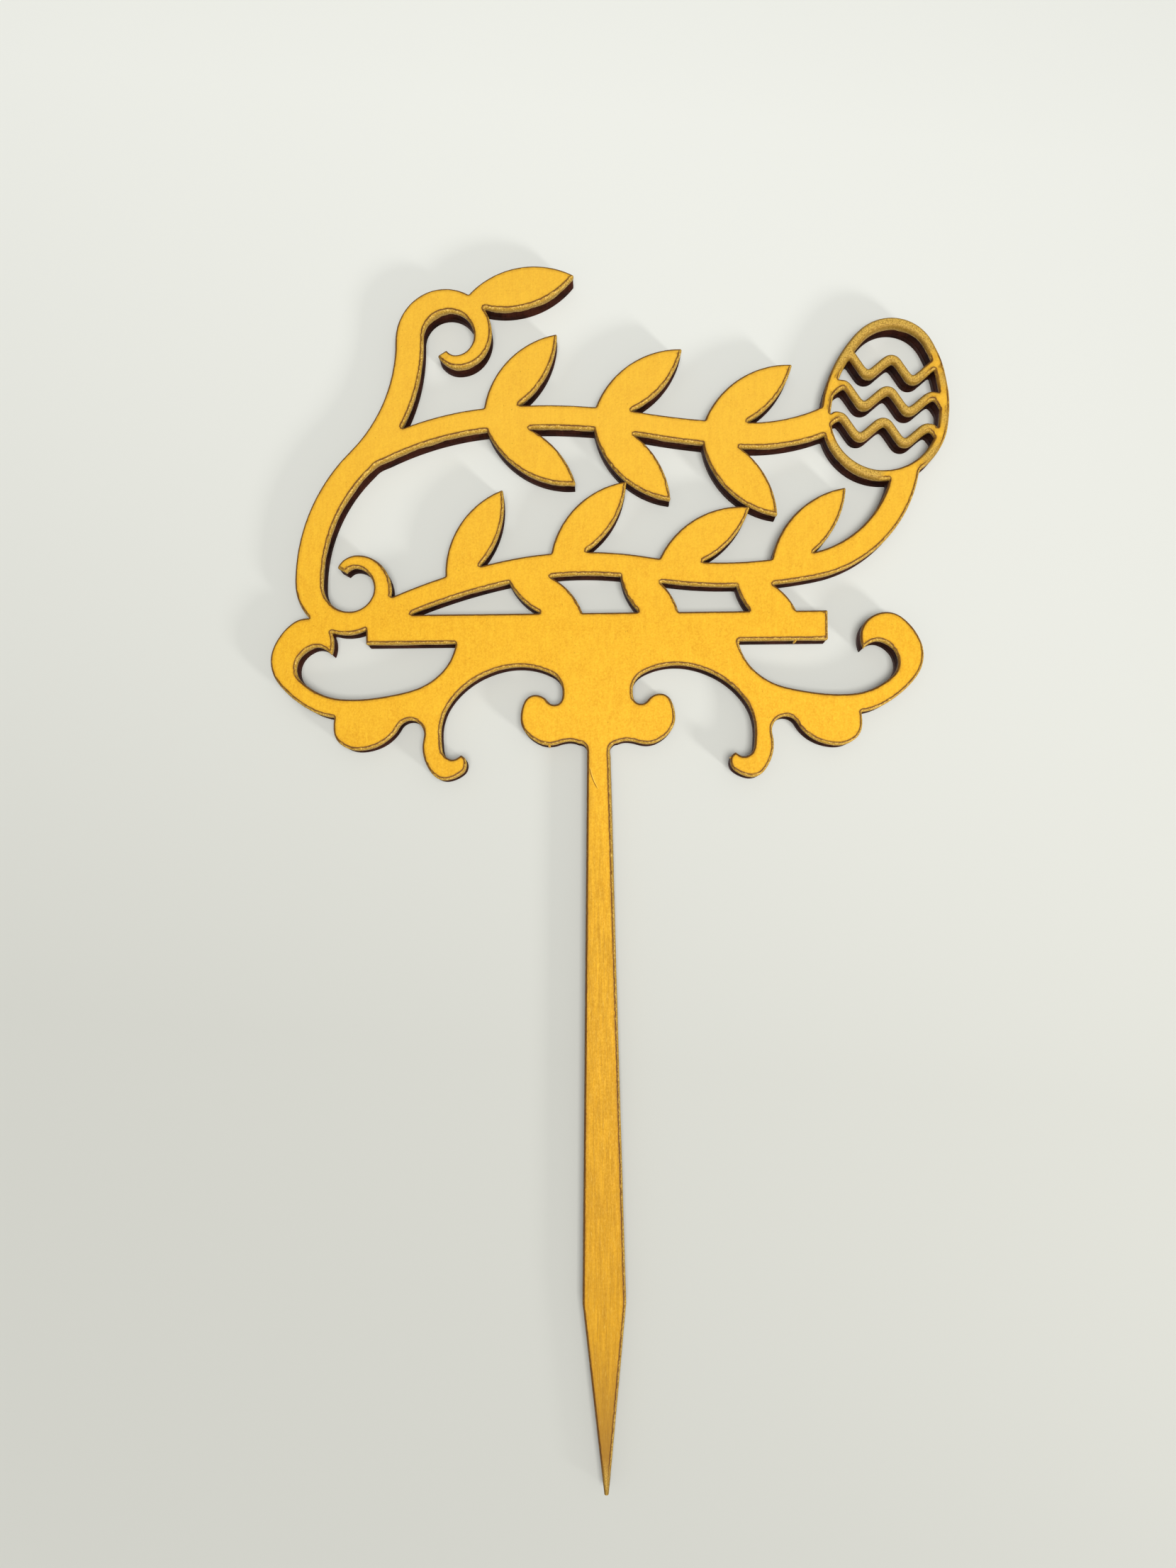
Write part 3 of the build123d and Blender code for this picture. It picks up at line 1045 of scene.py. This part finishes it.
def backMaterial():
    look = backLook
    material, tree, sockets, place = newMaterial(
        "bareBack", Roughness=look["rough"], Specular_IOR_Level=look["specular"])
    wall = charredWall(tree, place, charTone["brown"], grainLook["upright"])[0]
    grain = useGroup(tree, "grain", {"Vector": place, "Scale": look["grainScale"]})
    colour = mixOf(tree, grain["Streak"], bareTone["pale"], bareTone["streak"])
    colour = mixOf(tree, timesOf(tree, grain["Pore"], look["poreShare"]), colour, bareTone["pore"])
    edge = attributeOf(tree, "edge")
    drift = spanOf(tree, noiseOf(tree, place, look["smokeScale"]), *look["smokeDrift"])
    smoke = timesOf(tree, spanOf(tree, edge, *look["smoke"]), drift)
    colour = mixOf(tree, smoke, colour, bareTone["smoke"])
    colour = mixOf(tree, spanOf(tree, edge, *look["wall"]), wall, colour)
    tree.links.new(colour, sockets["Base Color"])
    bumpInto(tree, sockets, mathOf(tree, "ADD", grain["Streak"], grain["Pore"]), *look["bump"])
    return material


gold = goldPaintMaterial()
paintBeads, paintDrips = makeBeads(gold), makeDrips()
for piece in (goldPaint, paintDrips):
    piece.data.materials.append(gold)
frontPly.data.materials.append(wallMaterial("charredFront", charTone["brown"], grainLook["upright"]))
corePly.data.materials.append(wallMaterial("charredCore", charTone["core"], grainLook["level"]))
backPly.data.materials.append(backMaterial())
print("finishes:", [m.name for m in bpy.data.materials], "beads:", len(paintBeads.data.polygons))

for piece, slot in ((goldPaint, "gold_front"), (paintBeads, "gold_front"), (paintDrips, "gold_front"),
                    (frontPly, "gold_front"), (corePly, "core_wood"), (backPly, "back_wood")):
    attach(piece, "root")
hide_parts("front_veneer")
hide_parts("core_veneer")
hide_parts("back_veneer")


# Backdrop, light and camera

backdrop = {
    "gap": 0.02,
    "half": 600.0,
    "rough": 0.9,
    "fade": (0.19, 0.52),   # distances from the topper, in m, over which it gives way to the room
    # painted light: the backdrop paler towards the top and the right and darker towards the bottom and the
    # left, as the light falls off
    "slant": 0.1,           # rise of the tones' border towards the left
    "border": (-0.05, 0.1),  # heights, in m, between which the bottom tone becomes the top one
    "top": (0.82, 0.828, 0.774, 1),
    "bottom": (0.648, 0.65, 0.596, 1),
}


def seenRays(tree):
    # rays that show a background: straight from the camera, or by way of gloss or glass
    rays = tree.nodes.new("ShaderNodeLightPath").outputs
    direct = mathOf(tree, "MAXIMUM", rays["Is Camera Ray"], rays["Is Glossy Ray"])
    return mathOf(tree, "MAXIMUM", direct, rays["Is Transmission Ray"])


def makeBackdrop():
    # a pale sheet behind the topper, seen only from the front
    half, depth = backdrop["half"] * mm, (sheet["back"] + backdrop["gap"]) * mm
    mesh = bpy.data.meshes.new("backdrop")
    corners = [(-half, depth, -half), (half, depth, -half), (half, depth, half), (-half, depth, half)]
    mesh.from_pydata(corners, [], [(0, 1, 2, 3)])
    obj = bpy.data.objects.new("backdrop", mesh)
    scene.collection.objects.link(obj)
    material, tree, sockets, place = newMaterial("backdrop", Roughness=backdrop["rough"])
    # painted light: the top tone towards the top and right, the bottom tone towards the bottom and left
    axes = axesOf(tree, place)
    slant = mathOf(tree, "ADD", axes["Z"], timesOf(tree, axes["X"], backdrop["slant"]))
    colour = mixOf(tree, spanOf(tree, slant, *backdrop["border"]), backdrop["bottom"], backdrop["top"])
    tree.links.new(colour, sockets["Base Color"])
    behind = tree.nodes.new("ShaderNodeNewGeometry").outputs["Backfacing"]
    facing = mathOf(tree, "SUBTRACT", 1.0, behind)
    clear = tree.nodes.new("ShaderNodeBsdfTransparent")
    blend = tree.nodes.new("ShaderNodeMixShader")
    reach = addNode(tree, "ShaderNodeVectorMath", {0: place}, operation="LENGTH").outputs["Value"]
    shown = timesOf(tree, facing, spanOf(tree, reach, *backdrop["fade"], 1, 0))
    tree.links.new(timesOf(tree, seenRays(tree), shown), blend.inputs[0])
    tree.links.new(clear.outputs[0], blend.inputs[1])
    tree.links.new(tree.nodes["Principled BSDF"].outputs[0], blend.inputs[2])
    tree.links.new(blend.outputs[0], tree.nodes["Material Output"].inputs["Surface"])
    mesh.materials.append(material)


light = {
    "world": (0.22, 0.22, 0.216, 1),
    "seen": (0.78, 0.78, 0.74, 1),  # the room as it shows past the backdrop
    "aim": (0.01, 0.0, 0.045),
    "lamps": {  # power, size, spread in degrees and place in m
        "softFront": (21.2, 0.9, 180, (0.155, -1.55, -0.34)),
        "lowKey": (0.055, 0.09, 28, (0.5, -0.221, -0.406)),
        "backFill": (2.4, 0.5, 180, (-0.16, 0.55, 0.2)),
    },
}


def makeLight():
    world = bpy.data.worlds.new("softRoom")
    scene.world = world
    world.use_nodes = True
    tree = world.node_tree
    colour = mixOf(tree, seenRays(tree), light["world"], light["seen"])
    tree.links.new(colour, tree.nodes["Background"].inputs["Color"])
    for name, (power, size, spread, place) in light["lamps"].items():
        lamp = bpy.data.lights.new(name, "AREA")
        lamp.energy, lamp.size, lamp.spread = power, size, math.radians(spread)
        obj = bpy.data.objects.new(name, lamp)
        obj.location = place
        way = Vector(light["aim"]) - obj.location
        obj.rotation_euler = way.to_track_quat("-Z", "Y").to_euler()
        scene.collection.objects.link(obj)


shot = {
    "distance": 145.0,
    "field": 242.16,        # height of the picture at the front face, mm
    "sensor": 36.0,
    "aim": (-1.64, -6.38),  # X and Z at the middle of the picture, mm
    "stand": (0.0, -24.0),  # X and Z that the lens stands over, mm
    "rollDeg": -0.638,
    "clip": 5.0,
}


def makeCamera():
    # square to the front face, and shifted to the place that the lens stands over
    data = bpy.data.cameras.new("shot")
    data.sensor_fit, data.sensor_height = "VERTICAL", shot["sensor"]
    data.lens = shot["sensor"] * shot["distance"] / shot["field"]
    data.clip_start = shot["clip"] * mm
    obj = bpy.data.objects.new("shot", data)
    stand, aim = Vector(shot["stand"]), Vector(shot["aim"])
    roll = math.radians(shot["rollDeg"])
    obj.location = Vector((stand.x, sheet["front"] - shot["distance"], stand.y)) * mm
    turn = Matrix.Rotation(math.pi / 2, 3, "X") @ Matrix.Rotation(roll, 3, "Z")
    obj.rotation_euler = turn.to_euler()
    data.shift_x, data.shift_y = Matrix.Rotation(-roll, 2) @ (aim - stand) / shot["field"]
    scene.collection.objects.link(obj)
    scene.camera = obj


makeBackdrop()
makeLight()
makeCamera()
print("shot: lens", round(scene.camera.data.lens, 2), "mm, lamps", list(light["lamps"]))
